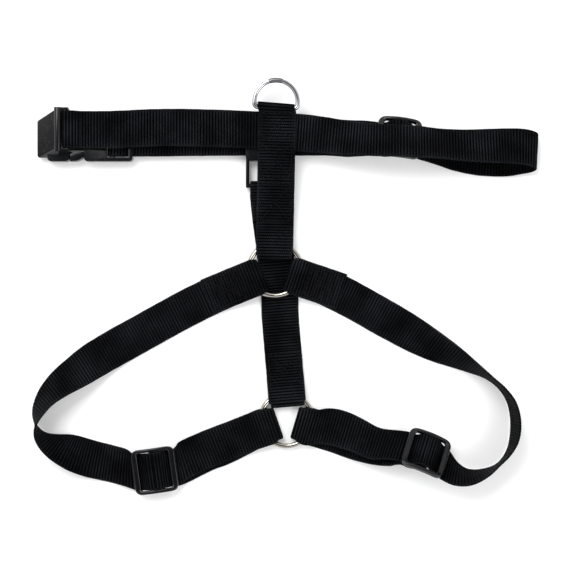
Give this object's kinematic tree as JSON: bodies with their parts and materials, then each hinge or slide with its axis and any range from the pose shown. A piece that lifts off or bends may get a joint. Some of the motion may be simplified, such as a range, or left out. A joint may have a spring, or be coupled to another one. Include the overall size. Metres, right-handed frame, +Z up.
{
  "type": "dog body harness",
  "caption": "Strap dog harness laid flat, with a girth strap and side-release buckle, neck straps joined by round rings, tri-glide adjusters and a leash D-ring.",
  "frame": {"origin": "centre of the laid-out harness's outline, on the surface it lies on", "axes": "+Z up off that surface, +Y from the lower ring along the back strap to the leash ring, +X towards the girth strap's fold, away from the buckle"},
  "size_m": [0.3463, 0.2835, 0.0275],
  "materials": {
    "webbing": "ribbed nylon webbing, black",
    "thread": "black polyester sewing thread",
    "plastic": "moulded black acetal, semi-gloss",
    "nickel": "nickel-plated steel wire",
    "chrome": "chromed steel wire"
  },
  "bodies": {
    "harness": {"back_strap": "webbing", "back_stitching": "thread", "belly_strap": "webbing", "belly_stitching": "thread", "girth_strap": "webbing", "girth_adjusting_loop": "webbing", "buckle_receiver": "plastic", "left_neck_strap": "webbing", "left_tail_stitching": "thread", "left_adjusting_loop": "webbing", "right_neck_strap": "webbing", "right_tail_stitching": "thread", "right_adjusting_loop": "webbing"},
    "leash_ring": {"leash_d_ring": "chrome"},
    "upper_ring": {"upper_o_ring": "nickel"},
    "lower_ring": {"lower_o_ring": "nickel"},
    "left_adjuster": {"left_triglide": "plastic"},
    "right_adjuster": {"right_triglide": "plastic"},
    "girth_adjuster": {"girth_triglide": "plastic"},
    "keeper": {"belly_keeper": "plastic"},
    "buckle_insert": {"buckle_plug": "plastic", "girth_end_loop": "webbing"},
    "upper_prong": {"buckle_prong_upper": "plastic"},
    "lower_prong": {"buckle_prong_lower": "plastic"}
  },
  "joints": [
    {"name": "leash_ring_swing", "type": "hinge", "parent": "harness", "child": "leash_ring", "pos_m": [-0.0062, 0.122, 0.01205], "axis": [0.999, -0.0436, 0], "range_deg": [-25, 90]},
    {"name": "upper_ring_turn", "type": "hinge", "parent": "harness", "child": "upper_ring", "pos_m": [-0.0068, 0.0122, 0.00522], "axis": [0, 0, 1], "continuous": true},
    {"name": "lower_ring_turn", "type": "hinge", "parent": "harness", "child": "lower_ring", "pos_m": [0.001, -0.0904, 0.00342], "axis": [0, 0, 1], "continuous": true},
    {"name": "left_adjuster_slide", "type": "slide", "parent": "harness", "child": "left_adjuster", "axis": [0.9903, 0.1392, 0], "range_m": [-0.008, 0.008], "deforming": ["left_neck_strap", "left_adjusting_loop"]},
    {"name": "right_adjuster_slide", "type": "slide", "parent": "harness", "child": "right_adjuster", "axis": [-0.9272, 0.3746, 0], "range_m": [-0.006, 0.006], "deforming": ["right_neck_strap", "right_adjusting_loop"]},
    {"name": "girth_adjuster_slide", "type": "slide", "parent": "harness", "child": "girth_adjuster", "axis": [-0.9925, 0.1219, 0], "range_m": [-0.008, 0.008], "deforming": ["girth_strap", "girth_adjusting_loop"]},
    {"name": "keeper_slide", "type": "slide", "parent": "harness", "child": "keeper", "axis": [1, 0, 0], "range_m": [-0.004, 0.004], "deforming": ["belly_strap"]},
    {"name": "buckle_release", "type": "slide", "parent": "harness", "child": "buckle_insert", "axis": [-1, 0, 0], "range_m": [0, 0.024]},
    {"name": "lower_prong_press", "type": "hinge", "parent": "buckle_insert", "child": "lower_prong", "pos_m": [-0.145, 0.0906, 0.0048], "axis": [0, 0, 1], "range_deg": [0, 5], "stiffness_Nm_per_rad": 0.05},
    {"name": "upper_prong_press", "type": "hinge", "parent": "buckle_insert", "child": "upper_prong", "pos_m": [-0.145, 0.1134, 0.0048], "axis": [0, 0, 1], "range_deg": [-5, 0], "stiffness_Nm_per_rad": 0.05}
  ],
  "couplings": [
    {"joint": "upper_prong_press", "follows": "lower_prong_press", "ratio": -1}
  ]
}
